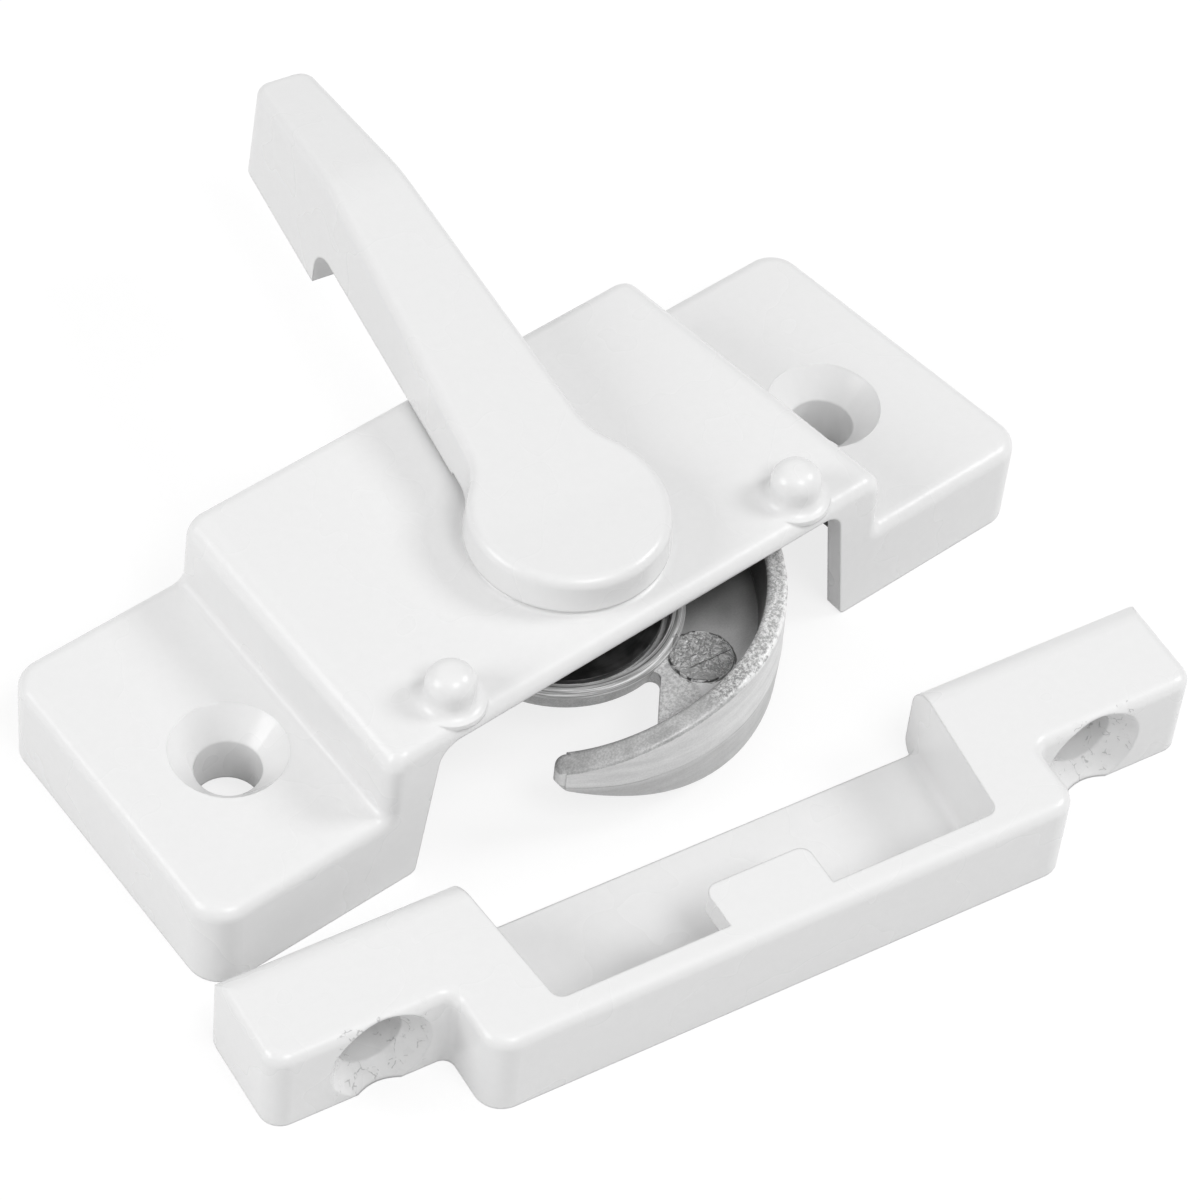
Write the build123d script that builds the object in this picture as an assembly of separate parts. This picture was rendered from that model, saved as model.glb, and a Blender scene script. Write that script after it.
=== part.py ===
from build123d import *
import math
import os

# A white die-cast window lock with a swinging hook, and the keeper it locks into.
# All sizes are millimetres. X runs along the lock, -Y is the side where the hook
# swings out, and Z is up from the surface that the lock is screwed to. The origin
# is midway between the two screw holes, on that surface.

# Lock body
LOCK_LENGTH = 82.5
LOCK_DEPTH = 28.9
END_TAPER_DEG = 4.2
FLANGE_HEIGHT = 8.3
BODY_HEIGHT = 14.9
BLOCK_LENGTH = 49.8
BLOCK_LEAN_DEG = 2.5
BLOCK_SIDE_ROUND = 1.9
CREASE_ROUND = 0.7
FLANGE_CORNER = 2.7
EDGE_ROUND = 1.2
WALL = 1.5
BACK_WALL = 1.2
PLATE_THICKNESS = 1.4
FLANGE_THICKNESS = 2.2

# Opening in the front of the lock body
OPENING_TOP_WIDTH = 39.8
OPENING_FLARE_DEG = 8.0
OPENING_CORNER = 2.0
OPENING_FOOT_ROUND = 0.6

# Countersunk screw holes, the same in the lock body and the keeper
SCREW_SPACING = 60.3
SCREW_LINE_TO_FRONT = 12.7
SCREW_HOLE_RADIUS = 2.65
COUNTERSINK_RADIUS = 4.65
COUNTERSINK_DEG = 82.0
SCREW_BOSS_RADIUS = 5.4
SCREW_BOSS_FOOT = 1.65

# Stops on the plate
STOP_SPACING = 34.4
STOP_RADIUS = 2.0
STOP_HEIGHT = 3.3
STOP_FLARE = 0.9
STOP_DOME_SHARE = 0.8
STOP_CLEARANCE = 0.35

# Pivot
PIVOT_TO_FRONT = 9.75
STEM_RADIUS = 3.1
STEM_CLEARANCE = 0.05
BEARING_BOSS_RADIUS = 5.5
BEARING_BOSS_FOOT = 8.45
SQUARE_SIDE = 4.3
SQUARE_CLEARANCE = 0.04

# Lever handle
LEVER_ANGLE_DEG = 78.6
HUB_RADIUS = 8.1
HUB_HEIGHT = 3.8
HUB_PAD_RADIUS = 7.7
HUB_PAD_HEIGHT = 0.55
HUB_PAD_FLARE = 0.9
HUB_GAP = 0.12
ARM_LENGTH = 50.8
ARM_HALF_WIDTH_AT_PIVOT = 5.7
ARM_SIDE_TAPER = 0.0575
ARM_GAP = 0.4
ARM_RISE_TO = 35.0
ARM_RISE = 3.75
ARM_TIP_DROP = 2.3
ARM_FOOT_START = 9.2
GRIP_START = 35.9
GRIP_DROP = 3.65
GRIP_CORNER = 2.5
LEVER_DRAFT_DEG = 3.8
LEVER_EDGE_ROUND = 0.9
NECK_ROUND = 5.0
TIP_ROUND = 2.0
BEND_ROUND = 14.0

# Hook cam
CAM_BOTTOM = 5.9
WEB_THICKNESS = 1.3
HOOK_OUTER_RADIUS = 17.4
HOOK_WALL_TOP = 1.45
HOOK_WALL_WEB = 1.9
HOOK_DRAFT = 0.15
HOOK_CENTRE = (0.2, -0.2)
HOOK_INNER_SHIFT = 0.3
HOOK_BOTTOM = 2.1
HOOK_TOP = 11.1
HOOK_TIP_DEG = -132.0
HOOK_END_DEG = 10.0
HOOK_NOSE_HEIGHT = 2.0
HOOK_NOSE_RADIUS = 0.9
HOOK_RAMP_ROUND = 40.0
HOOK_TOP_ROUND = 0.45
HOOK_FOOT_ROUND = 0.2
WEB_MIDDLE_DEG = -60.0
CAM_HUB_RADIUS = 9.85
CAM_HUB_TOP = 8.0
CAM_RING_WIDTH = 0.6
CAM_RING_CHAMFER = 0.4
BOWL_DEPTH = 1.0
BOWL_WALL_LEAN = 0.2
NOTCH_CORNER = (1.45, -10.55)
NOTCH_ROUND = 0.7
NOTCH_EDGE_DEG = -133.0
EJECTOR_RADIUS = 2.5
EJECTOR_ORBIT = 12.05
EJECTOR_DEG = -63.5
EJECTOR_HEIGHT = 0.2

# Spring washer, retaining washer and peened end of the stem
SPRING_THICKNESS = 0.5
SPRING_OUTER_RADIUS = 8.1
SPRING_INNER_RADIUS = 3.6
SPRING_TOP_GAP = 0.1
RETAINER_RADIUS = 5.2
RETAINER_THICKNESS = 0.8
PEEN_RADIUS = 4.0
PEEN_HEIGHT = 0.9
PEEN_RIM = 0.3

# Keeper
KEEPER_LENGTH = 81.2
KEEPER_DEPTH = 15.8
KEEPER_HEIGHT = 8.15
KEEPER_BAR_LENGTH = 51.4
KEEPER_EAR_SETBACK = 6.15
KEEPER_BAR_CORNER = 2.2
KEEPER_EAR_CORNER = 1.7
KEEPER_BACK_CORNER = 0.8
KEEPER_INNER_CORNER = 1.0
KEEPER_EDGE_ROUND = 1.0
KEEPER_BACK_ROUND = 2.6
KEEPER_BACK_FOOT_ROUND = 1.5
POCKET_FRONT_WIDTH = 38.6
POCKET_BACK_WIDTH = 41.25
RAIL_THICKNESS = 2.1
POCKET_FLOOR = 1.0
POCKET_FLOOR_SETBACK = 1.5
POCKET_FOOT_ROUND = 0.8
TAB_WIDTH = 9.0
TAB_REACH = 3.95
TAB_THICKNESS = 2.2
TAB_CORNER = 1.0
KEEPER_SCREW_SPACING = 63.0
KEEPER_SCREW_HEIGHT = 3.85
KEEPER_COUNTERSINK_RADIUS = 4.25
KEEPER_TURN_DEG = -9.7
KEEPER_OFFSET = (-3.62, -22.52)

# Allowances: how far a cutter runs past a face, and a joined piece into its neighbour
OVERCUT = 1.0
SINK = 0.5

# Places worked out from the sizes above
FRONT_Y = -SCREW_LINE_TO_FRONT
BACK_Y = FRONT_Y + LOCK_DEPTH
PIVOT_Y = FRONT_Y + PIVOT_TO_FRONT
PLATE_BOTTOM = BODY_HEIGHT - PLATE_THICKNESS
TAPER = math.tan(math.radians(END_TAPER_DEG))
WEB_TOP = CAM_BOTTOM + WEB_THICKNESS
BOWL_FLOOR = CAM_HUB_TOP - BOWL_DEPTH
HUB_BOTTOM = BODY_HEIGHT + HUB_PAD_HEIGHT + HUB_GAP
ARM_BOTTOM = BODY_HEIGHT + ARM_GAP
GRIP_BOTTOM = BODY_HEIGHT - GRIP_DROP
HUB_TOP = BODY_HEIGHT + HUB_HEIGHT
PIVOT = Location((0, PIVOT_Y, 0))
ON_BASE = (Align.CENTER, Align.CENTER, Align.MIN)


def same_edge_count(edge, faces):
    return sum(1 for face in faces for other in face.edges() if other.is_same(edge))


def front_outline(y):
    """Outline of the lock body seen from the front, narrower towards the back."""
    inset = (y - FRONT_Y) * TAPER
    end_x = LOCK_LENGTH / 2 - inset
    foot_x = BLOCK_LENGTH / 2 - inset
    lean = (BODY_HEIGHT - FLANGE_HEIGHT) * math.tan(math.radians(BLOCK_LEAN_DEG))
    points = [
        (-end_x, 0), (-end_x, FLANGE_HEIGHT), (-foot_x, FLANGE_HEIGHT),
        (-foot_x + lean, BODY_HEIGHT), (foot_x - lean, BODY_HEIGHT),
        (foot_x, FLANGE_HEIGHT), (end_x, FLANGE_HEIGHT), (end_x, 0),
    ]
    face = make_face(Polyline(*points, close=True))
    top = face.vertices().filter_by(lambda v: abs(v.Y - BODY_HEIGHT) < 0.01)
    face = fillet(top, BLOCK_SIDE_ROUND)
    crease = face.vertices().filter_by(
        lambda v: abs(v.Y - FLANGE_HEIGHT) < 0.01 and abs(abs(v.X) - foot_x) < 0.01)
    face = fillet(crease, CREASE_ROUND)
    return Plane((0, y, 0), x_dir=(1, 0, 0), z_dir=(0, -1, 0)) * face


def prism_between(front_points, back_points, y0, y1):
    """Straight-sided solid between a front and a back outline."""
    def face_at(points, y):
        plane = Plane((0, y, 0), x_dir=(1, 0, 0), z_dir=(0, -1, 0))
        return plane * make_face(Polyline(*points, close=True))
    return loft([face_at(front_points, y0), face_at(back_points, y1)], ruled=True)


def rectangle_points(half_width, bottom, top):
    return [(-half_width, bottom), (-half_width, top), (half_width, top), (half_width, bottom)]


def body_shell():
    solid = loft([front_outline(FRONT_Y), front_outline(BACK_Y)], ruled=True)
    ends = solid.edges().filter_by(
        lambda e: abs(e.tangent_at(0.5).Z) > 0.99 and abs(e.center().X) > BLOCK_LENGTH / 2)
    solid = fillet(ends, FLANGE_CORNER)
    rim = solid.edges().filter_by(
        lambda e: e.center().Z > FLANGE_HEIGHT - 0.01
        and abs(e.center().X) > LOCK_LENGTH / 2 - 2 * FLANGE_CORNER)
    rim = rim.filter_by(lambda e: abs(e.tangent_at(0.5).Z) < 0.01)
    return fillet(rim, EDGE_ROUND)


def cavity():
    y0 = FRONT_Y + WALL
    y1 = BACK_Y - BACK_WALL

    def inside(length, y):
        return length / 2 - WALL - (y - FRONT_Y) * TAPER
    block = prism_between(
        rectangle_points(inside(BLOCK_LENGTH, y0), -OVERCUT, PLATE_BOTTOM),
        rectangle_points(inside(BLOCK_LENGTH, y1), -OVERCUT, PLATE_BOTTOM), y0, y1)
    flange_roof = FLANGE_HEIGHT - FLANGE_THICKNESS
    flanges = prism_between(
        rectangle_points(inside(LOCK_LENGTH, y0), -OVERCUT, flange_roof),
        rectangle_points(inside(LOCK_LENGTH, y1), -OVERCUT, flange_roof), y0, y1)
    return block + flanges


def front_opening():
    top = OPENING_TOP_WIDTH / 2
    foot = top + PLATE_BOTTOM * math.tan(math.radians(OPENING_FLARE_DEG))
    wide = foot + 2 * OPENING_FOOT_ROUND
    face = make_face(Polyline(
        (-top, PLATE_BOTTOM), (top, PLATE_BOTTOM), (foot, 0), (wide, 0), (wide, -OVERCUT),
        (-wide, -OVERCUT), (-wide, 0), (-foot, 0), close=True))
    corners = face.vertices().filter_by(lambda v: abs(v.Y - PLATE_BOTTOM) < 0.01)
    face = fillet(corners, OPENING_CORNER)
    feet = face.vertices().filter_by(lambda v: abs(v.Y) < 0.01 and abs(abs(v.X) - foot) < 0.01)
    face = fillet(feet, OPENING_FOOT_ROUND)
    face = Plane((0, FRONT_Y - OVERCUT, 0), x_dir=(1, 0, 0), z_dir=(0, -1, 0)) * face
    return extrude(face, -(WALL + 2 * OVERCUT))


def countersink(radius, hole_radius, depth):
    """Cutter for a countersunk hole along -Z, with its mouth at the origin."""
    half = math.radians(COUNTERSINK_DEG / 2)
    cone = (radius - hole_radius) / math.tan(half)
    above = radius + OVERCUT * math.tan(half)
    face = make_face(Polyline(
        (0, OVERCUT), (above, OVERCUT), (hole_radius, -cone),
        (hole_radius, -depth), (0, -depth), close=True))
    return revolve(Plane.XZ * face, Axis.Z)


def screw_places():
    return [Location((side * SCREW_SPACING / 2, 0, 0)) for side in (-1, 1)]


def stop():
    """Domed stop with a flared foot, standing on the origin."""
    r, h, flare = STOP_RADIUS, STOP_HEIGHT, STOP_FLARE
    dome = STOP_DOME_SHARE * r
    outline = [
        Line((0, -SINK), (0, h)),
        Line((0, h), (r - dome, h)),
        RadiusArc((r - dome, h), (r, h - dome), dome),
        Line((r, h - dome), (r, flare)),
        RadiusArc((r, flare), (r + flare, 0), -flare),
        Line((r + flare, 0), (r + flare, -SINK)),
        Line((r + flare, -SINK), (0, -SINK)),
    ]
    return revolve(Plane.XZ * make_face(outline), Axis.Z)


def hub_pad():
    """Low round pad under the lever's hub, with a flared foot, standing on the origin."""
    r, h, wide = HUB_PAD_RADIUS, HUB_PAD_HEIGHT, HUB_PAD_RADIUS + HUB_PAD_FLARE
    outline = [
        Line((0, -SINK), (0, h)),
        Line((0, h), (r, h)),
        Spline((r, h), (wide, 0), tangents=((0.25, -1), (1, 0))),
        Line((wide, 0), (wide, -SINK)),
        Line((wide, -SINK), (0, -SINK)),
    ]
    return revolve(Plane.XZ * make_face(outline), Axis.Z)


def arm_half_width(s):
    return ARM_HALF_WIDTH_AT_PIVOT - ARM_SIDE_TAPER * s


def stop_y():
    """The stop stands beside the arm when the arm lies along the lock."""
    return PIVOT_Y - arm_half_width(STOP_SPACING / 2) - STOP_CLEARANCE - STOP_RADIUS


def make_housing():
    housing = body_shell() - cavity()
    for place in screw_places():
        top = FLANGE_HEIGHT - FLANGE_THICKNESS + SINK
        boss = Cylinder(SCREW_BOSS_RADIUS, top - SCREW_BOSS_FOOT, align=ON_BASE)
        housing += place * Location((0, 0, SCREW_BOSS_FOOT)) * boss
    bearing = Cylinder(BEARING_BOSS_RADIUS, PLATE_BOTTOM + SINK - BEARING_BOSS_FOOT, align=ON_BASE)
    housing += PIVOT * Location((0, 0, BEARING_BOSS_FOOT)) * bearing
    housing += PIVOT * Location((0, 0, BODY_HEIGHT)) * hub_pad()
    for side in (-1, 1):
        housing += Location((side * STOP_SPACING / 2, stop_y(), BODY_HEIGHT)) * stop()
    housing -= front_opening()
    for place in screw_places():
        cutter = countersink(COUNTERSINK_RADIUS, SCREW_HOLE_RADIUS, FLANGE_HEIGHT + OVERCUT)
        housing -= place * Location((0, 0, FLANGE_HEIGHT)) * cutter
    housing -= PIVOT * Cylinder(STEM_RADIUS + STEM_CLEARANCE, 3 * BODY_HEIGHT)
    return housing


def lever_plan():
    """Plan of the lever at the level of the grip's underside, along +X."""
    spread = (ARM_BOTTOM - GRIP_BOTTOM) * math.tan(math.radians(LEVER_DRAFT_DEG))
    start = HUB_RADIUS / 2
    w0 = arm_half_width(start) + spread
    w1 = arm_half_width(ARM_LENGTH) + spread
    arm = make_face(Polyline((start, -w0), (ARM_LENGTH, -w1), (ARM_LENGTH, w1), (start, w0),
                             close=True))
    plan = Circle(HUB_RADIUS + spread) + arm
    neck = plan.vertices().filter_by(lambda v: 0 < v.X < HUB_RADIUS + OVERCUT)
    plan = fillet(neck, NECK_ROUND)
    tip = plan.vertices().filter_by(lambda v: v.X > ARM_LENGTH - 0.01)
    return fillet(tip, TIP_ROUND)


def lever_side():
    """Side view of the lever: distance along the arm across, height up."""
    back = -HUB_RADIUS - OVERCUT
    front = ARM_LENGTH + OVERCUT
    slope = -ARM_TIP_DROP / (ARM_LENGTH - ARM_RISE_TO)
    bend_z = HUB_TOP + ARM_RISE
    points = [
        (back, HUB_BOTTOM), (back, HUB_TOP), (0, HUB_TOP), (ARM_RISE_TO, bend_z),
        (front, bend_z + slope * (front - ARM_RISE_TO)), (front, GRIP_BOTTOM),
        (GRIP_START, GRIP_BOTTOM), (GRIP_START, ARM_BOTTOM), (ARM_FOOT_START, ARM_BOTTOM),
        (ARM_FOOT_START, HUB_BOTTOM),
    ]
    face = make_face(Polyline(*points, close=True))
    bend = face.vertices().filter_by(lambda v: abs(v.X - ARM_RISE_TO) < 0.01)
    face = fillet(bend, BEND_ROUND)
    rise = face.vertices().filter_by(lambda v: abs(v.X) < 0.01 and v.Y > HUB_BOTTOM + OVERCUT)
    face = fillet(rise, BEND_ROUND)
    notch = face.vertices().filter_by(
        lambda v: abs(v.X - GRIP_START) < 0.01 and abs(v.Y - ARM_BOTTOM) < 0.01)
    face = fillet(notch, GRIP_CORNER)
    return Plane.XZ * face


def make_lever():
    blank = extrude(Location((0, 0, GRIP_BOTTOM)) * lever_plan(),
                    HUB_TOP + ARM_RISE + OVERCUT - GRIP_BOTTOM, taper=LEVER_DRAFT_DEG)
    side = extrude(lever_side(), 2 * HUB_RADIUS, both=True)
    lever = blank & side
    roof = lever.faces().filter_by(lambda f: f.normal_at().Z > 0.8)
    rim = [e for e in lever.edges() if same_edge_count(e, roof) == 1]
    lever = fillet(rim, LEVER_EDGE_ROUND)
    lever = Rot(0, 0, LEVER_ANGLE_DEG) * lever
    stem_foot = CAM_BOTTOM - RETAINER_THICKNESS
    stem = Location((0, 0, BOWL_FLOOR)) * Cylinder(
        STEM_RADIUS, HUB_BOTTOM + SINK - BOWL_FLOOR, align=ON_BASE)
    square = Location((0, 0, stem_foot)) * Box(
        SQUARE_SIDE, SQUARE_SIDE, BOWL_FLOOR + SINK - stem_foot, align=ON_BASE)
    square = Rot(0, 0, LEVER_ANGLE_DEG) * square
    peen = Location((0, 0, stem_foot)) * revolve(Plane.XZ * make_face(Polyline(
        (0, 0), (PEEN_RADIUS, 0), (PEEN_RADIUS, -PEEN_RIM),
        (PEEN_RADIUS - PEEN_HEIGHT, -PEEN_HEIGHT), (0, -PEEN_HEIGHT), close=True)), Axis.Z)
    return PIVOT * (lever + stem + square + peen)


def hook_wall():
    """The tall crescent wall, with a parting line at the level of the web."""
    outer = HOOK_OUTER_RADIUS
    inner = outer - HOOK_WALL_WEB
    rim = outer - HOOK_DRAFT - HOOK_WALL_TOP
    profile = make_face(Polyline(
        (0, HOOK_BOTTOM), (outer - HOOK_DRAFT, HOOK_BOTTOM), (outer, CAM_BOTTOM),
        (outer - HOOK_DRAFT, HOOK_TOP), (0, HOOK_TOP), close=True))
    hollow = make_face(Polyline(
        (0, HOOK_BOTTOM), (rim, HOOK_BOTTOM), (inner, CAM_BOTTOM), (inner, WEB_TOP),
        (rim, HOOK_TOP), (0, HOOK_TOP), close=True))
    block = revolve(Plane.XZ * profile, Axis.Z)
    return block - Location((0, HOOK_INNER_SHIFT, 0)) * revolve(Plane.XZ * hollow, Axis.Z)


def nose_centre():
    """Centre of the hook's rounded tip, seen from above."""
    middle = HOOK_OUTER_RADIUS - HOOK_DRAFT - HOOK_NOSE_RADIUS
    angle = math.radians(HOOK_TIP_DEG) + HOOK_NOSE_RADIUS / middle
    return middle * math.cos(angle), middle * math.sin(angle)


def hook_sector():
    """The hook's reach from above, with a round tip."""
    x, y = nose_centre()
    start = math.degrees(math.atan2(y, x))
    step = (HOOK_END_DEG - start) / 2
    far = 2 * HOOK_OUTER_RADIUS
    rays = [math.radians(start + i * step) for i in range(3)]
    corners = [(far * math.cos(a), far * math.sin(a)) for a in rays]
    plan = make_face(Polyline((0, 0), *corners, close=True))
    plan += Location((x, y)) * Circle(HOOK_NOSE_RADIUS)
    return extrude(plan, HOOK_TOP + OVERCUT)


def hook_ramps():
    """Keeps the part of the hook between the two ramps that narrow its tip."""
    reach = HOOK_OUTER_RADIUS + OVERCUT
    nose = HOOK_NOSE_RADIUS - nose_centre()[0]
    middle = (HOOK_BOTTOM + HOOK_TOP) / 2
    half = HOOK_NOSE_HEIGHT / 2
    face = make_face(Polyline(
        (-nose, middle - half), (0, HOOK_BOTTOM), (reach, HOOK_BOTTOM),
        (reach, HOOK_TOP), (0, HOOK_TOP), (-nose, middle + half), close=True))
    tip = face.vertices().filter_by(lambda v: abs(v.X + nose) < 0.01)
    face = fillet(tip, HOOK_NOSE_RADIUS)
    shoulders = face.vertices().filter_by(lambda v: abs(v.X) < 0.01)
    face = fillet(shoulders, HOOK_RAMP_ROUND)
    return extrude(Plane.XZ * face, reach, both=True)


def hook():
    """The crescent wall, tapered to its tip, with its upper and lower edges rounded."""
    solid = hook_wall() & hook_sector() & hook_ramps()
    for side, radius in ((1, HOOK_TOP_ROUND), (-1, HOOK_FOOT_ROUND)):
        lids = solid.faces().filter_by(lambda f: side * f.normal_at().Z > 0.8)
        rim = [e for e in solid.edges() if same_edge_count(e, lids) == 1]
        solid = fillet(rim, radius)
    return Location((*HOOK_CENTRE, 0)) * solid


def cam_web():
    """The flat web between the hub and the wall, ending at the notch beside the hub."""
    outer = HOOK_OUTER_RADIUS - HOOK_WALL_WEB + SINK
    far = 2 * HOOK_OUTER_RADIUS
    rays = [math.radians(a) for a in (NOTCH_EDGE_DEG, WEB_MIDDLE_DEG, HOOK_END_DEG)]
    corners = [(far * math.cos(a), far * math.sin(a)) for a in rays]
    edge = math.radians(NOTCH_EDGE_DEG)
    side = (NOTCH_CORNER[0] + far * math.cos(edge), NOTCH_CORNER[1] + far * math.sin(edge))
    inward = (NOTCH_CORNER[0] - far * math.cos(edge), NOTCH_CORNER[1] - far * math.sin(edge))
    sector = make_face(Polyline((0, 0), *corners, close=True))
    left = make_face(Polyline(side, inward, (-far, far), (-far, -far), close=True))
    core = CAM_HUB_RADIUS - CAM_RING_CHAMFER
    plan = (Circle(outer) & sector) - left + Circle(core)
    corner = plan.vertices().filter_by(
        lambda v: abs(math.hypot(v.X, v.Y) - core) < 0.01 and v.Y < -core / 2)
    plan = fillet(corner, NOTCH_ROUND)
    web = extrude(Location((0, 0, CAM_BOTTOM)) * plan, WEB_THICKNESS)
    return web - Cylinder(CAM_HUB_RADIUS - OVERCUT, far)


def cam_hub():
    r = CAM_HUB_RADIUS
    ring_outer = r - CAM_RING_CHAMFER
    ring_inner = ring_outer - CAM_RING_WIDTH
    profile = make_face(Polyline(
        (0, CAM_BOTTOM), (ring_outer, CAM_BOTTOM), (r, CAM_HUB_TOP - CAM_RING_CHAMFER),
        (ring_outer, CAM_HUB_TOP), (ring_inner, CAM_HUB_TOP),
        (ring_inner - BOWL_WALL_LEAN, BOWL_FLOOR), (0, BOWL_FLOOR), close=True))
    return revolve(Plane.XZ * profile, Axis.Z)


def make_cam():
    cam = hook() + cam_web() + cam_hub()
    side = SQUARE_SIDE + 2 * SQUARE_CLEARANCE
    cam -= Rot(0, 0, LEVER_ANGLE_DEG) * Box(side, side, 4 * CAM_HUB_TOP)
    angle = math.radians(EJECTOR_DEG)
    disc = Cylinder(EJECTOR_RADIUS, EJECTOR_HEIGHT + SINK, align=ON_BASE)
    place = Location((EJECTOR_ORBIT * math.cos(angle), EJECTOR_ORBIT * math.sin(angle), WEB_TOP - SINK))
    return PIVOT * (cam + place * disc)


def make_spring_washer():
    """Dished washer pressed between the bearing boss and the floor of the cam's bowl."""
    rise = BEARING_BOSS_FOOT - BOWL_FLOOR - SPRING_THICKNESS - SPRING_TOP_GAP
    base = BOWL_FLOOR
    face = make_face(Polyline(
        (SPRING_OUTER_RADIUS, base), (SPRING_OUTER_RADIUS, base + SPRING_THICKNESS),
        (SPRING_INNER_RADIUS, base + rise + SPRING_THICKNESS),
        (SPRING_INNER_RADIUS, base + rise), close=True))
    return PIVOT * revolve(Plane.XZ * face, Axis.Z)


def make_retaining_washer():
    ring = Circle(RETAINER_RADIUS) - Circle(STEM_RADIUS + STEM_CLEARANCE)
    ring = extrude(ring, RETAINER_THICKNESS)
    return PIVOT * Location((0, 0, CAM_BOTTOM - RETAINER_THICKNESS)) * ring


def keeper_plan():
    half = KEEPER_LENGTH / 2
    bar = KEEPER_BAR_LENGTH / 2
    plan = make_face(Polyline(
        (-bar, 0), (bar, 0), (bar, KEEPER_EAR_SETBACK), (half, KEEPER_EAR_SETBACK),
        (half, KEEPER_DEPTH), (-half, KEEPER_DEPTH), (-half, KEEPER_EAR_SETBACK),
        (-bar, KEEPER_EAR_SETBACK), close=True))
    for x, y, radius in (
            (bar, KEEPER_EAR_SETBACK, KEEPER_INNER_CORNER), (bar, 0, KEEPER_BAR_CORNER),
            (half, KEEPER_EAR_SETBACK, KEEPER_EAR_CORNER), (half, KEEPER_DEPTH, KEEPER_BACK_CORNER)):
        pair = plan.vertices().filter_by(lambda v: abs(abs(v.X) - x) < 0.01 and abs(v.Y - y) < 0.01)
        plan = fillet(pair, radius)
    return plan


def keeper_pocket():
    front = POCKET_FRONT_WIDTH / 2
    back = POCKET_BACK_WIDTH / 2
    spread = (back - front) / (KEEPER_DEPTH - RAIL_THICKNESS) * OVERCUT
    face = make_face(Polyline(
        (-front, RAIL_THICKNESS), (front, RAIL_THICKNESS),
        (back + spread, KEEPER_DEPTH + OVERCUT), (-back - spread, KEEPER_DEPTH + OVERCUT), close=True))
    corners = face.vertices().filter_by(lambda v: abs(v.Y - RAIL_THICKNESS) < 0.01)
    face = fillet(corners, KEEPER_INNER_CORNER)
    pocket = extrude(Location((0, 0, POCKET_FLOOR)) * face, KEEPER_HEIGHT)
    foot = pocket.edges().filter_by(
        lambda e: abs(e.center().Z - POCKET_FLOOR) < 0.01 and e.center().Y < KEEPER_DEPTH)
    pocket = fillet(foot, POCKET_FOOT_ROUND)
    behind = Location((0, KEEPER_DEPTH - POCKET_FLOOR_SETBACK, -OVERCUT)) * Box(
        KEEPER_LENGTH, KEEPER_DEPTH, KEEPER_HEIGHT, align=(Align.CENTER, Align.MIN, Align.MIN))
    return pocket + (extrude(Location((0, 0, -OVERCUT)) * face, KEEPER_HEIGHT) & behind)


def keeper_side():
    """Side view of the keeper, with its upper and lower back edges rounded."""
    face = make_face(Polyline(
        (-OVERCUT, 0), (KEEPER_DEPTH, 0), (KEEPER_DEPTH, KEEPER_HEIGHT), (-OVERCUT, KEEPER_HEIGHT),
        close=True))
    for z, radius in ((KEEPER_HEIGHT, KEEPER_BACK_ROUND), (0, KEEPER_BACK_FOOT_ROUND)):
        corner = face.vertices().filter_by(
            lambda v: abs(v.X - KEEPER_DEPTH) < 0.01 and abs(v.Y - z) < 0.01)
        face = fillet(corner, radius)
    return extrude(Plane.YZ * face, KEEPER_LENGTH, both=True)


def keeper_tab():
    half = TAB_WIDTH / 2
    reach = RAIL_THICKNESS + TAB_REACH
    face = make_face(Polyline(
        (-half, RAIL_THICKNESS - SINK), (half, RAIL_THICKNESS - SINK),
        (half, reach), (-half, reach), close=True))
    corners = face.vertices().filter_by(lambda v: abs(v.Y - reach) < 0.01)
    face = fillet(corners, TAB_CORNER)
    return extrude(Location((0, 0, KEEPER_HEIGHT - TAB_THICKNESS)) * face, TAB_THICKNESS)


def make_keeper():
    keeper = extrude(keeper_plan(), KEEPER_HEIGHT)
    rim = keeper.faces().sort_by(Axis.Z)[-1].edges().filter_by(
        lambda e: e.center().Y < KEEPER_DEPTH - KEEPER_EDGE_ROUND)
    keeper = fillet(rim, KEEPER_EDGE_ROUND)
    keeper = (keeper & keeper_side()) - keeper_pocket() + keeper_tab()
    for side in (-1, 1):
        cutter = countersink(KEEPER_COUNTERSINK_RADIUS, SCREW_HOLE_RADIUS, KEEPER_DEPTH)
        mouth = Location((side * KEEPER_SCREW_SPACING / 2, KEEPER_EAR_SETBACK, KEEPER_SCREW_HEIGHT),
                         (90, 0, 0))
        keeper -= mouth * cutter
    keeper = Location((0, -KEEPER_DEPTH, 0)) * keeper
    return Location((*KEEPER_OFFSET, 0), (0, 0, KEEPER_TURN_DEG)) * keeper


NODES = {
    "housing": make_housing,
    "lever_handle": make_lever,
    "hook_cam": make_cam,
    "spring_washer": make_spring_washer,
    "retaining_washer": make_retaining_washer,
    "keeper": make_keeper,
}

os.makedirs("parts", exist_ok=True)
for name, make in NODES.items():
    export_step(make(), "parts/" + name + ".step")
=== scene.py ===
from types import SimpleNamespace

import bpy
import bmesh
from mathutils import Matrix, Vector

# Materials, floor, light and camera for a white window lock and its keeper.
# The scene is in metres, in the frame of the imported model. Materials work in millimetres.

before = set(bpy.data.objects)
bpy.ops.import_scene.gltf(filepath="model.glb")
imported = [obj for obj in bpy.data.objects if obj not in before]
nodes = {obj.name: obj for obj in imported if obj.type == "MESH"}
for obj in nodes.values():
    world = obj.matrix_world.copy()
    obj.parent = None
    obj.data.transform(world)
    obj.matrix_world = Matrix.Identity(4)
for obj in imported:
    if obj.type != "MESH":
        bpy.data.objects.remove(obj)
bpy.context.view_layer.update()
MM = 0.001

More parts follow.
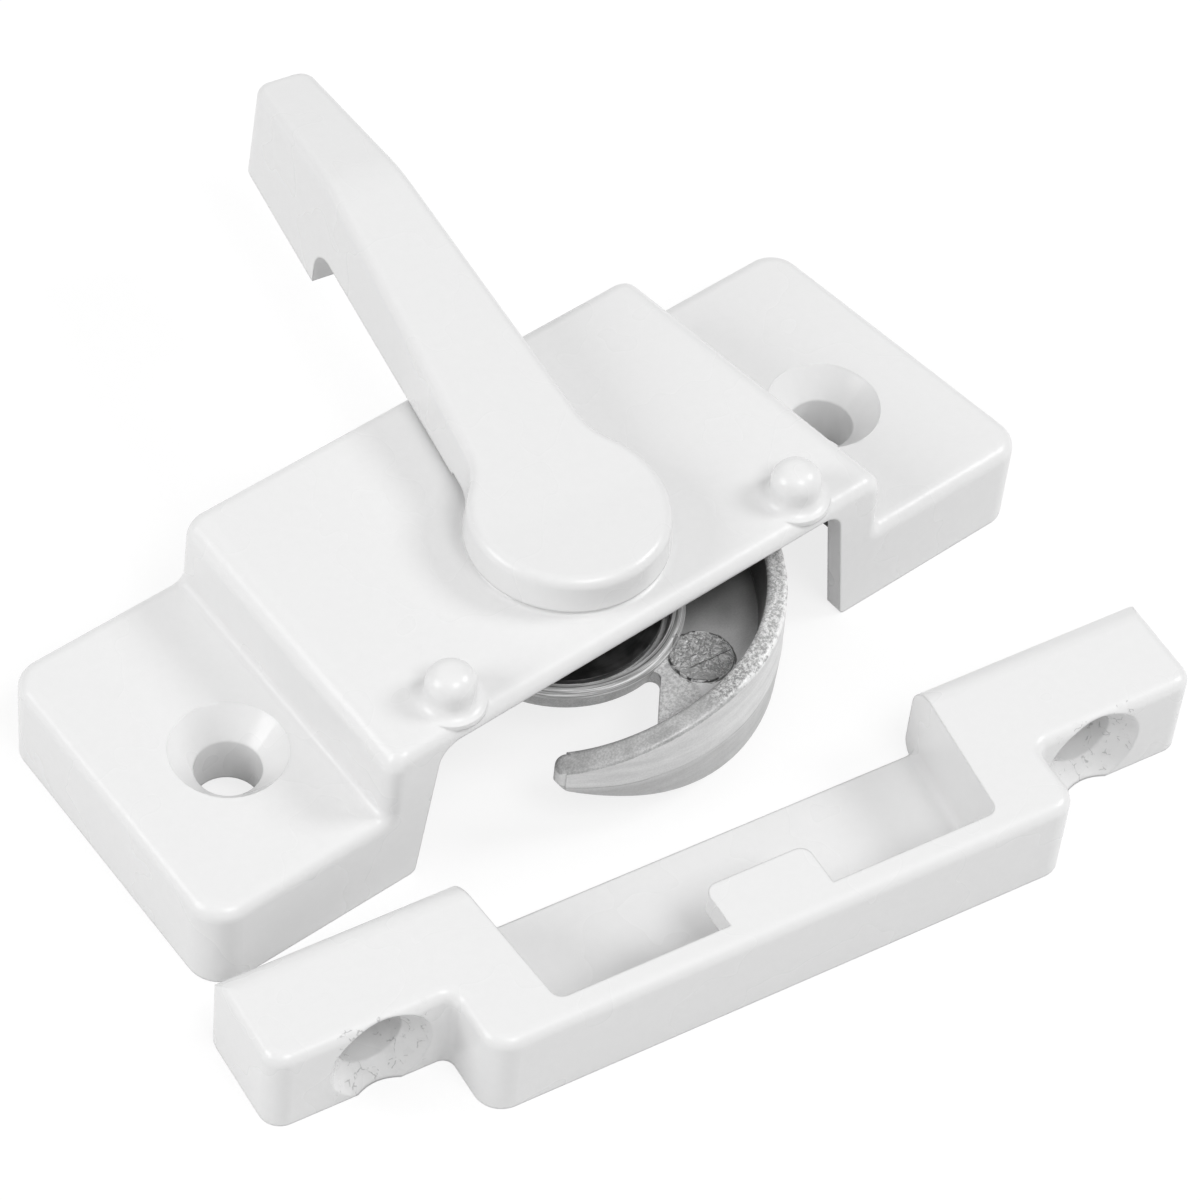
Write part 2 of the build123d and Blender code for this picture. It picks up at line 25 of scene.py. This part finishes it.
# Places on the lock body and the keeper, in millimetres. A point is (x, y), seen from above.
PIVOT = (0.0, -2.95)
SCREW_HOLES = ((-30.15, 0.0), (30.15, 0.0))
KEEPER_HOLES = ((-35.9, -24.2), (26.2, -34.8))
COUNTERSINK_RADIUS = 4.65
KEEPER_HOLE_RADIUS = 4.6
BOSS_RADIUS = 4.0
BODY_FRONT = -12.7
BODY_TAPER = 0.0734
HOLLOW_FRONT = -10.8
HOLLOW_BACK = 15.5
BLOCK_HALF_WIDTH = 23.75
BLOCK_CEILING = 14.0
FLANGE_HALF_WIDTH = 40.0
FLANGE_CEILING = 7.2

# Places on the hook, in millimetres
HOOK_CENTRE = (0.2, -3.15)
WALL_HEIGHT = 10.85
WALL_TOP_START = 14.6
WALL_FACE_RADIUS = 16.95
WALL_FOOT_CENTRE = (0.2, -2.85)
WALL_FOOT_RADIUS = 15.53
PARTING_HEIGHT = 5.9
WEB_HEIGHT = 7.2
EJECTOR = (5.377, -13.734)
EJECTOR_RADIUS = 2.5
BOWL_RADIUS = 8.85
BOWL_TOP = 8.02
LIP_FOOT = 7.8
GROOVE_RADIUS = 9.15
COLLAR_RADIUS = 9.95

# Shades and roundings
HOUSING_SHADE = 0.82
LEVER_SHADE = 0.80
KEEPER_SHADE = 0.82
COAT_SOFTEN = 0.3
ZINC_SOFTEN = 0.12
STEEL_SOFTEN = 0.05
BEVEL_SAMPLES = 6

# Light levels: the world's strength, and lamps as name, place in metres, size in metres, watts
WORLD_LEVEL = 0.52
LAMPS = (
    ("key", (0.66, -0.36, 0.68), 0.35, 2.9),
    ("left", (-0.72, 0.30, 0.42), 0.5, 2.9),
    ("front", (-0.05, -0.55, 0.85), 0.4, 2.7),
)
FLOOR_SHADE = 0.65
FLOOR_GLOW = 0.8
FLOOR_SHADOW_SHADE = 0.22
FLOOR_HALF_SIZE = 3.0
FLOOR_DROP = 0.02

# Camera, solved from the straight edges of the lock body: its place in millimetres, and the turn
# from the model's axes to the picture's right, down and forward, as a rotation vector
CAMERA_PLACE = (-179.0208, -187.3112, 304.3318)
CAMERA_TURN = (2.3314381, -0.8101180, 0.3994074)
FOCAL_LENGTH_PIXELS = 5031.1
PICTURE_PIXELS = 1200.0
SENSOR_WIDTH = 36.0


# Node helpers

class Material:
    """A node material with short ways to add and join nodes. Lengths are in millimetres.

    Masks are sockets that run from 0 outside an area to 1 inside it.
    """

    def __init__(self, name):
        self.material = bpy.data.materials.new(name)
        self.material.use_nodes = True
        self.tree = self.material.node_tree
        self.shader = self.tree.nodes["Principled BSDF"]
        coords = self.tree.nodes.new("ShaderNodeTexCoord")
        scaled = self.add("ShaderNodeVectorMath", {0: coords.outputs["Object"], "Scale": 1.0 / MM},
                          operation="SCALE")
        self.place = scaled.outputs["Vector"]
        self.x, self.y, self.z = self.split(self.place)
        self.facing_up = self.split(coords.outputs["Normal"])[2]

    def add(self, kind, inputs=None, **settings):
        node = self.tree.nodes.new(kind)
        for key, value in settings.items():
            setattr(node, key, value)
        for key, value in (inputs or {}).items():
            if isinstance(value, bpy.types.NodeSocket):
                self.tree.links.new(value, node.inputs[key])
            else:
                node.inputs[key].default_value = value
        return node

    def link(self, socket, key):
        self.tree.links.new(socket, self.shader.inputs[key])

    def set(self, **values):
        for key, value in values.items():
            self.shader.inputs[key.replace("_", " ")].default_value = value

    def split(self, vector):
        parts = self.add("ShaderNodeSeparateXYZ", {0: vector}).outputs
        return parts["X"], parts["Y"], parts["Z"]

    def math(self, operation, a, b=0.5):
        return self.add("ShaderNodeMath", {0: a, 1: b}, operation=operation).outputs["Value"]

    def product(self, *values):
        result = values[0]
        for value in values[1:]:
            result = self.math("MULTIPLY", result, value)
        return result

    def total(self, *values):
        result = values[0]
        for value in values[1:]:
            result = self.math("ADD", result, value)
        return result

    def noise(self, grain, detail=2.0, rough=0.5, vector=None):
        """Noise whose lumps are about `grain` millimetres across."""
        node = self.add("ShaderNodeTexNoise", {
            "Vector": vector or self.place, "Scale": 1.0 / grain, "Detail": detail,
            "Roughness": rough})
        return node.outputs["Fac"]

    def cells(self, grain, vector=None):
        """Distance to the borders of irregular cells of about `grain` millimetres."""
        node = self.add("ShaderNodeTexVoronoi", {
            "Vector": vector or self.place, "Scale": 1.0 / grain}, feature="DISTANCE_TO_EDGE")
        return node.outputs["Distance"]

    def shifted(self, vector, amount, grain):
        """The vector moved about by noise, by up to about `amount` over lumps of size `grain`."""
        node = self.add("ShaderNodeTexNoise", {"Vector": vector, "Scale": 1.0 / grain, "Detail": 2.0})
        centred = self.add("ShaderNodeVectorMath", {0: node.outputs["Color"], 1: (0.5, 0.5, 0.5)},
                           operation="SUBTRACT").outputs["Vector"]
        scaled = self.add("ShaderNodeVectorMath", {0: centred, "Scale": amount},
                          operation="SCALE").outputs["Vector"]
        return self.add("ShaderNodeVectorMath", {0: vector, 1: scaled}, operation="ADD").outputs["Vector"]

    def spread(self, value, low, high, out_low=0.0, out_high=1.0):
        """Value from low to high, eased and clamped to out_low to out_high."""
        node = self.add("ShaderNodeMapRange", {
            "Value": value, "From Min": low, "From Max": high,
            "To Min": out_low, "To Max": out_high}, interpolation_type="SMOOTHSTEP")
        return node.outputs["Result"]

    def above(self, value, edge, soft):
        return self.spread(value, edge - soft, edge + soft)

    def below(self, value, edge, soft):
        return self.spread(value, edge - soft, edge + soft, 1.0, 0.0)

    def band(self, value, centre, half, soft):
        """1 within `half` of the centre, fading to 0 over `soft` on both sides of that edge."""
        offset = self.math("ABSOLUTE", self.math("SUBTRACT", value, centre))
        return self.below(offset, half, soft)

    def from_point(self, point, vector=None):
        """Horizontal offset from a point."""
        return self.add("ShaderNodeVectorMath", {0: vector or self.place, 1: (*point, 0.0)},
                        operation="SUBTRACT").outputs["Vector"]

    def radius(self, point, vector=None):
        """Horizontal distance from a point."""
        offset = self.from_point(point, vector)
        flat = self.add("ShaderNodeVectorMath", {0: offset, 1: (1.0, 1.0, 0.0)},
                        operation="MULTIPLY").outputs["Vector"]
        return self.add("ShaderNodeVectorMath", {0: flat}, operation="LENGTH").outputs["Value"]

    def nearest(self, points):
        """Horizontal distance from the nearest of several points."""
        result = self.radius(points[0])
        for point in points[1:]:
            result = self.math("MINIMUM", result, self.radius(point))
        return result

    def polar(self, point, across, along):
        """Coordinates that follow circles round a point: radius and angle, each with its scale."""
        x, y, _ = self.split(self.from_point(point))
        angle = self.math("ARCTAN2", y, x)
        return self.add("ShaderNodeCombineXYZ", {
            "X": self.math("MULTIPLY", self.radius(point), across),
            "Y": self.math("MULTIPLY", angle, along),
            "Z": self.math("MULTIPLY", self.z, across)}).outputs["Vector"]

    def between(self, kind, factor, a, b):
        node = self.add("ShaderNodeMix", data_type=kind)
        for key, value in (("Factor", factor), ("A", a), ("B", b)):
            socket = next(s for s in node.inputs if s.name == key and s.enabled)
            if isinstance(value, bpy.types.NodeSocket):
                self.tree.links.new(value, socket)
            else:
                socket.default_value = value
        return next(s for s in node.outputs if s.enabled)

    def mix(self, factor, a, b):
        """Colour between a and b."""
        return self.between("RGBA", factor, a, b)

    def blend(self, factor, a, b):
        """Plain number between a and b."""
        return self.between("FLOAT", factor, a, b)

    def shade(self, value):
        """Grey of the given value."""
        return self.add("ShaderNodeCombineColor", {
            "Red": value, "Green": value, "Blue": value}).outputs["Color"]

    def relief(self, height, soften):
        """Bump from a height in millimetres, on edges softened by the given radius in millimetres."""
        soft = self.add("ShaderNodeBevel", {"Radius": soften * MM},
                        samples=BEVEL_SAMPLES).outputs["Normal"]
        bump = self.add("ShaderNodeBump", {"Height": height, "Distance": MM, "Normal": soft})
        self.link(bump.outputs["Normal"], "Normal")


def grey(value):
    return (value, value, value, 1.0)


# White powder coat

def white_coat(name, shade, seed, bare=None, holes=()):
    """Satin white powder coat with faint orange peel, and a thin ridge round the mouths of holes.

    `seed` shifts the noise, and the bare-metal mask marks where the coat gives way to dark metal: worn
    patches and cracks in the keeper's holes, and in the lock's hollow a painted shade, far darker than bare
    zinc, for the unlit inside.
    """
    m = Material(name)
    moved = m.add("ShaderNodeVectorMath", {0: m.place, 1: (seed, 2 * seed, -seed)},
                  operation="ADD").outputs["Vector"]
    grain = m.noise(0.8, 3.0, 0.7, vector=moved)
    colour = m.mix(grain, grey(shade * 0.97), grey(shade * 1.01))
    rough = m.spread(m.noise(9.0, 2.0, vector=moved), 0.1, 0.9, 0.24, 0.32)
    peel = m.product(m.noise(1.6, 2.0, 0.45, vector=moved), 0.022)
    fine = m.product(m.noise(0.25, 2.0, 0.5, vector=moved), 0.0012)
    height = m.total(peel, fine)
    if holes:
        ridge = m.product(m.band(m.nearest(holes), COUNTERSINK_RADIUS, 0.05, 0.07),
                          m.spread(m.noise(1.6, 2.0, vector=moved), 0.42, 0.5))
        height = m.total(height, m.product(ridge, 0.035))
    if bare is not None:
        # Dark metal inside the mask: painted shade in the lock's hollow, real wear in the keeper's holes
        mask = bare(m)
        metal = m.spread(m.noise(0.6, 4.0, 0.6, vector=moved), 0.3, 0.7, 0.045, 0.1)
        colour = m.mix(mask, colour, m.shade(metal))
        rough = m.blend(mask, rough, 0.6)
        cast = m.product(m.noise(0.5, 4.0, 0.6, vector=moved), 0.05, mask)
        height = m.total(height, cast)
    m.link(colour, "Base Color")
    m.link(rough, "Roughness")
    m.relief(height, COAT_SOFTEN)
    return m.material


def inside_lock(m):
    """The hollow of the lock body, which the coat hardly reaches; its bare metal is painted much darker than
    zinc, as painted shade for the unlit inside.
    """
    wander = m.spread(m.noise(1.5, 3.0), 0.3, 0.7, -0.1, 0.1)
    taper = m.product(m.math("SUBTRACT", m.y, BODY_FRONT), BODY_TAPER)
    across = m.total(m.math("ABSOLUTE", m.x), taper, wander)
    front = m.above(m.total(m.y, wander), HOLLOW_FRONT, 0.3)
    back = m.below(m.y, HOLLOW_BACK, 0.1)
    block = m.product(m.below(across, BLOCK_HALF_WIDTH, 0.1), m.below(m.z, BLOCK_CEILING, 0.1))
    flanges = m.product(m.below(across, FLANGE_HALF_WIDTH, 0.1), m.below(m.z, FLANGE_CEILING, 0.1))
    beside_bosses = m.above(m.nearest(SCREW_HOLES), BOSS_RADIUS, 0.1)
    return m.product(front, back, m.math("MAXIMUM", block, flanges), beside_bosses)


def inside_keeper_holes(m):
    """Thin grey patches and cracks in the coat of the keeper's screw holes."""
    crack = m.below(m.cells(1.3, m.shifted(m.place, 1.2, 1.0)), 0.03, 0.02)
    patch = m.spread(m.noise(0.7, 3.0), 0.5, 0.62)
    wear = m.product(m.math("MAXIMUM", m.product(crack, patch), m.product(patch, 0.1)), 0.4)
    near = m.below(m.nearest(KEEPER_HOLES), KEEPER_HOLE_RADIUS, 0.2)
    not_level = m.below(m.math("ABSOLUTE", m.facing_up), 0.93, 0.02)
    return m.product(wear, near, not_level)


# Bare zinc of the hook

def hook_textures(m):
    """Noises that the hook's colour and relief share."""
    fold = m.noise(0.6, 4.0, 0.6, vector=m.shifted(m.place, 0.5, 0.5))
    return SimpleNamespace(
        grain=m.noise(0.16, 3.0, 0.7),
        sparkle=m.spread(m.noise(0.28, 4.0, 0.8), 0.38, 0.64),
        streak=m.noise(1.0, 5.0, 0.65, vector=m.polar(HOOK_CENTRE, 1.4, 3.0)),
        turned=m.noise(1.0, 4.0, 0.65, vector=m.polar(PIVOT, 6.0, 1.2)),
        crumple=m.product(m.math("ABSOLUTE", m.math("SUBTRACT", fold, 0.5)), 2.0))


def hook_areas(m):
    """Masks of the hook's areas and casting marks."""
    hub = m.radius(PIVOT)
    hook = m.radius(HOOK_CENTRE)
    mark = m.radius(EJECTOR, m.shifted(m.place, 0.3, 0.9))
    over_web = m.above(m.z, WEB_HEIGHT + 0.1, 0.1)
    area = SimpleNamespace(hub=hub)

    area.top = m.product(m.above(m.z, WALL_HEIGHT - 0.1, 0.2), m.above(hook, WALL_TOP_START, 0.2))
    area.edge = m.product(m.band(m.z, WALL_HEIGHT, 0.2, 0.15), m.above(hook, WALL_FACE_RADIUS, 0.12))
    area.glint = m.product(area.edge, m.spread(m.noise(0.5, 3.0), 0.4, 0.55), m.spread(m.x, 0.0, 7.0))
    area.side = m.product(m.above(hook, WALL_FACE_RADIUS - 0.25, 0.2), m.below(m.facing_up, 0.3, 0.1))
    area.inside = m.product(m.below(hook, 16.0, 0.1), m.above(hook, 14.8, 0.2), over_web,
                            m.below(m.facing_up, 0.5, 0.2))

    area.web = m.product(m.band(m.z, WEB_HEIGHT, 0.12, 0.08), m.above(m.facing_up, 0.8, 0.1))
    corner = m.total(m.x, m.product(m.y, -0.45))
    area.notch = m.product(area.web, m.below(corner, 10.4, 0.25))
    area.foot = m.product(m.band(m.radius(WALL_FOOT_CENTRE), WALL_FOOT_RADIUS, 0.05, 0.05), area.web)

    area.disc = m.product(m.below(mark, EJECTOR_RADIUS - 0.08, 0.06), m.above(m.z, WEB_HEIGHT + 0.05, 0.05))
    area.rim = m.product(m.band(mark, EJECTOR_RADIUS, 0.07, 0.06), m.above(m.z, WEB_HEIGHT - 0.1, 0.05))
    area.flash = m.product(area.rim, m.spread(m.noise(0.7, 2.0), 0.45, 0.52))
    area.moat = m.product(m.band(mark, EJECTOR_RADIUS + 0.16, 0.05, 0.06), area.web,
                          m.spread(m.noise(1.1, 2.0), 0.42, 0.55))
    across, along, _ = m.split(m.from_point(EJECTOR, m.shifted(m.place, 0.35, 1.1)))
    slant = m.total(along, m.product(across, 0.15), 0.57)
    area.crease = m.product(m.band(slant, 0.0, 0.03, 0.06), m.above(across, -1.5, 0.1), area.disc)
    diagonal = m.total(across, m.product(along, 0.6))
    area.dent = m.product(m.below(diagonal, -1.5, 0.2), m.below(along, 0.1, 0.3), area.disc)

    area.bowl = m.product(m.below(hub, BOWL_RADIUS - 0.03, 0.05), m.below(m.z, BOWL_TOP, 0.1))
    area.collar = m.product(m.above(hub, BOWL_RADIUS - 0.1, 0.1), m.below(hub, COLLAR_RADIUS, 0.1), over_web)
    area.groove = m.product(m.band(hub, GROOVE_RADIUS, 0.05, 0.05), area.collar)
    area.lip = m.product(m.band(hub, BOWL_RADIUS, 0.06, 0.05), m.above(m.z, LIP_FOOT, 0.1))
    return area


def shade_wall(m, value, area, texture):
    """Wall: paler above the parting line and darker below it, a painted shade for the lower half, whose
    draft turns it away from the light; faintly streaked along its length.
    """
    # Painted shade: the wall is darker below the parting line
    side = m.product(
        m.blend(m.above(m.z, PARTING_HEIGHT, 0.5), 0.54, 0.76),
        m.spread(texture.streak, 0.25, 0.75, 0.9, 1.08),
        m.spread(texture.grain, 0.3, 0.7, 0.94, 1.04))
    value = m.blend(area.side, value, side)
    wavy = m.total(m.z, m.product(texture.streak, 0.5))
    seam = m.product(m.band(wavy, PARTING_HEIGHT + 0.3, 0.05, 0.07), area.side)
    return m.blend(m.product(seam, m.spread(texture.streak, 0.4, 0.6, 0.15, 0.6)), value, 0.25)


def shade_wall_top(m, value, area, texture):
    """Top of the wall: rough and sparkling, darker towards the tip, with a painted highlight along the outer
    edge and a painted shade line on that edge near the tip.
    """
    from_tip = m.spread(m.x, -4.0, 13.0)
    top = m.blend(texture.sparkle, m.blend(from_tip, 0.12, 0.45), m.blend(from_tip, 0.62, 1.0))
    value = m.blend(area.top, value, top)
    # Painted highlight along the outer top edge
    value = m.blend(area.glint, value, 1.0)
    # Painted shade: a dark line on the outer edge near the tip
    crest = m.product(area.edge, m.below(m.z, WALL_HEIGHT, 0.08), m.spread(m.x, 6.0, -2.0))
    return m.blend(m.product(crest, 0.25), value, 0.2)


def shade_web(m, value, area, texture):
    """Web: smooth and painted darker further in as painted shade under the plate, with a painted shade line
    at the wall's foot, a shaded inner wall face and a rough patch by the notch.
    """
    # Painted shade: the web and the wall's inner face grow darker further in, under the plate
    inwards = m.spread(m.y, -15.5, -8.5)
    smooth = m.product(
        m.spread(m.noise(3.5, 3.0), 0.3, 0.7, 0.9, 1.05),
        m.blend(inwards, 1.0, 0.2),
        m.spread(texture.grain, 0.3, 0.7, 0.92, 1.05))
    value = m.blend(area.web, value, smooth)
    value = m.blend(area.notch, value, m.blend(texture.sparkle, 0.62, 1.0))
    # Painted shade: the wall's inner face is dark, darker further in
    value = m.blend(area.inside, value, m.blend(inwards, 0.3, 0.12))
    # Painted shade: a dark line along the wall's foot
    return m.blend(m.product(area.foot, 0.9), value, 0.04)


def shade_ejector_mark(m, value, area, texture):
    """Ejector mark: crumpled skin with a crease painted dark as painted shade, a dent, a broken rim and a
    painted shadow line round it.
    """
    value = m.blend(area.disc, value, m.spread(texture.crumple, 0.0, 0.16, 0.5, 1.0))
    value = m.blend(m.product(area.dent, 0.8), value, 0.4)
    # Painted shade: the crease is painted near black
    value = m.blend(area.crease, value, 0.03)
    value = m.blend(area.rim, value, 0.12)
    value = m.blend(area.flash, value, 1.0)
    # Painted shadow: a dark line round the mark
    return m.blend(area.moat, value, 0.05)


def shade_hub(m, value, area, texture):
    """Hub: turned rings on the collar, a painted highlight on the bowl's lip, and a bowl painted dark as
    painted shade under the plate, darkest inwards, with scratches at its edge.
    """
    value = m.blend(area.collar, value, m.spread(texture.turned, 0.35, 0.65, 0.28, 1.0))
    value = m.blend(m.product(area.groove, 0.8), value, 0.06)
    # Painted highlight: a bright broken line on the bowl's lip
    lip = m.product(area.lip, m.spread(m.noise(0.9, 2.0), 0.35, 0.5))
    value = m.blend(lip, value, 1.0)
    # Painted shade: the bowl darkens inwards, under the plate
    deep = m.blend(m.spread(area.hub, 6.5, BOWL_RADIUS - 0.05), 0.12, 0.8)
    return m.blend(area.bowl, value, m.product(deep, m.spread(texture.turned, 0.3, 0.7, 0.4, 1.6)))


def raise_hook(m, area, texture):
    """Relief of the hook's surface, in millimetres."""
    smooth = m.math("MAXIMUM", area.web, area.collar)
    coarse = m.math("MAXIMUM", area.top, area.notch)
    m.relief(m.total(
        m.product(texture.grain, m.blend(smooth, 0.012, 0.004)),
        m.product(m.noise(0.2, 4.0, 0.8), coarse, 0.06),
        m.product(texture.crumple, area.disc, m.blend(area.dent, 0.6, 0.15)),
        m.product(area.flash, 0.15),
        m.product(area.crease, -0.1),
        m.product(texture.streak, area.side, 0.04),
        m.product(texture.turned, area.collar, 0.02)), ZINC_SOFTEN)


def raw_zinc(name):
    """Bare die-cast zinc of the hook, with its casting marks."""
    m = Material(name)
    texture = hook_textures(m)
    area = hook_areas(m)
    patch = m.spread(m.noise(2.2, 4.0, 0.6), 0.35, 0.65)
    value = m.product(m.blend(patch, 0.42, 0.54), m.spread(texture.grain, 0.3, 0.7, 0.8, 1.15))
    for shade_area in (shade_wall, shade_wall_top, shade_web, shade_ejector_mark, shade_hub):
        value = shade_area(m, value, area, texture)
    m.link(m.shade(value), "Base Color")
    m.set(Metallic=0.25)
    rough = m.spread(m.noise(1.2, 3.0), 0.3, 0.7, 0.36, 0.48)
    m.link(m.blend(m.math("MAXIMUM", area.disc, area.glint), rough, 0.3), "Roughness")
    raise_hook(m, area, texture)
    return m.material


# Steel of the hidden washers

def dark_steel(name, shade):
    """Turned steel, with fine rings round the pivot."""
    m = Material(name)
    rings = m.noise(1.0, 3.0, 0.5, vector=m.polar(PIVOT, 6.0, 1.0))
    m.link(m.shade(m.spread(rings, 0.3, 0.7, shade * 0.8, shade)), "Base Color")
    m.set(Metallic=1.0)
    m.link(m.spread(m.noise(1.5), 0.3, 0.7, 0.28, 0.42), "Roughness")
    m.relief(m.product(rings, 0.01), STEEL_SOFTEN)
    return m.material


def dress(node, material):
    mesh = nodes[node].data
    if not mesh.materials:
        mesh.materials.append(material)
    for i in range(len(mesh.materials)):
        mesh.materials[i] = material


dress("housing", white_coat("white_housing_coat", HOUSING_SHADE, 11.0, inside_lock, SCREW_HOLES))
dress("lever_handle", white_coat("white_lever_coat", LEVER_SHADE, 37.0))
dress("keeper", white_coat("white_keeper_coat", KEEPER_SHADE, 73.0, inside_keeper_holes))
dress("hook_cam", raw_zinc("raw_zinc_casting"))
dress("spring_washer", dark_steel("oiled_spring_steel", 0.15))
dress("retaining_washer", dark_steel("plated_steel", 0.45))


# Floor, lights and camera

def seen_directly(tree):
    """1 for rays from the camera and through reflections and glass, else 0."""
    path = tree.nodes.new("ShaderNodeLightPath")
    result = path.outputs["Is Camera Ray"]
    for name in ("Is Glossy Ray", "Is Transmission Ray"):
        node = tree.nodes.new("ShaderNodeMath")
        node.operation = "MAXIMUM"
        tree.links.new(result, node.inputs[0])
        tree.links.new(path.outputs[name], node.inputs[1])
        result = node.outputs["Value"]
    return result


def floor_material():
    """Pale floor that shows as white where it is lit, and keeps the object's shadow."""
    m = Material("pale_floor")
    m.set(Base_Color=grey(FLOOR_SHADE), Roughness=0.9, Specular_IOR_Level=0.2)
    output = m.tree.nodes["Material Output"]
    glow = m.add("ShaderNodeEmission", {"Color": grey(1.0), "Strength": FLOOR_GLOW})
    matt = m.add("ShaderNodeBsdfDiffuse", {"Color": grey(FLOOR_SHADOW_SHADE)})
    bright = m.add("ShaderNodeAddShader", {0: glow.outputs["Emission"], 1: matt.outputs["BSDF"]})
    both = m.add("ShaderNodeMixShader", {0: seen_directly(m.tree), 1: m.shader.outputs["BSDF"],
                                         2: bright.outputs["Shader"]})
    m.tree.links.new(both.outputs["Shader"], output.inputs["Surface"])
    return m.material


def make_floor():
    mesh = bpy.data.meshes.new("floor")
    bm = bmesh.new()
    bmesh.ops.create_grid(bm, x_segments=1, y_segments=1, size=FLOOR_HALF_SIZE)
    bm.to_mesh(mesh)
    bm.free()
    floor = bpy.data.objects.new("floor", mesh)
    floor.location = (0, 0, -FLOOR_DROP * MM)
    bpy.context.scene.collection.objects.link(floor)
    mesh.materials.append(floor_material())


def area_light(name, place, size, power):
    """Soft round lamp that faces the origin."""
    light = bpy.data.lights.new(name, "AREA")
    light.shape = "DISK"
    light.size = size
    light.energy = power
    lamp = bpy.data.objects.new(name, light)
    lamp.location = place
    lamp.rotation_euler = (-Vector(place)).to_track_quat("-Z", "Y").to_euler()
    bpy.context.scene.collection.objects.link(lamp)


def make_world(strength):
    """Even studio light, which the camera alone sees as white."""
    world = bpy.data.worlds.new("studio")
    bpy.context.scene.world = world
    world.use_nodes = True
    tree = world.node_tree
    back = tree.nodes["Background"]
    back.inputs["Color"].default_value = (1, 1, 1, 1)
    path = tree.nodes.new("ShaderNodeLightPath")
    level = tree.nodes.new("ShaderNodeMapRange")
    tree.links.new(path.outputs["Is Camera Ray"], level.inputs["Value"])
    level.inputs["To Min"].default_value = strength
    level.inputs["To Max"].default_value = 1.0
    tree.links.new(level.outputs["Result"], back.inputs["Strength"])


def make_camera():
    data = bpy.data.cameras.new("camera")
    data.sensor_width = SENSOR_WIDTH
    data.lens = FOCAL_LENGTH_PIXELS / PICTURE_PIXELS * SENSOR_WIDTH
    data.clip_start = 0.01
    data.clip_end = 20.0
    camera = bpy.data.objects.new("camera", data)
    turn = Vector(CAMERA_TURN)
    to_camera = Matrix.Rotation(turn.length, 3, turn.normalized())
    right, down, forward = (Vector(row) for row in to_camera)
    basis = Matrix((right, -down, -forward)).transposed()
    camera.matrix_world = Matrix.Translation(Vector(CAMERA_PLACE) * MM) @ basis.to_4x4()
    bpy.context.scene.collection.objects.link(camera)
    bpy.context.scene.camera = camera


make_floor()
make_world(WORLD_LEVEL)
for lamp in LAMPS:
    area_light(*lamp)
make_camera()
bpy.context.scene.view_settings.view_transform = "Standard"
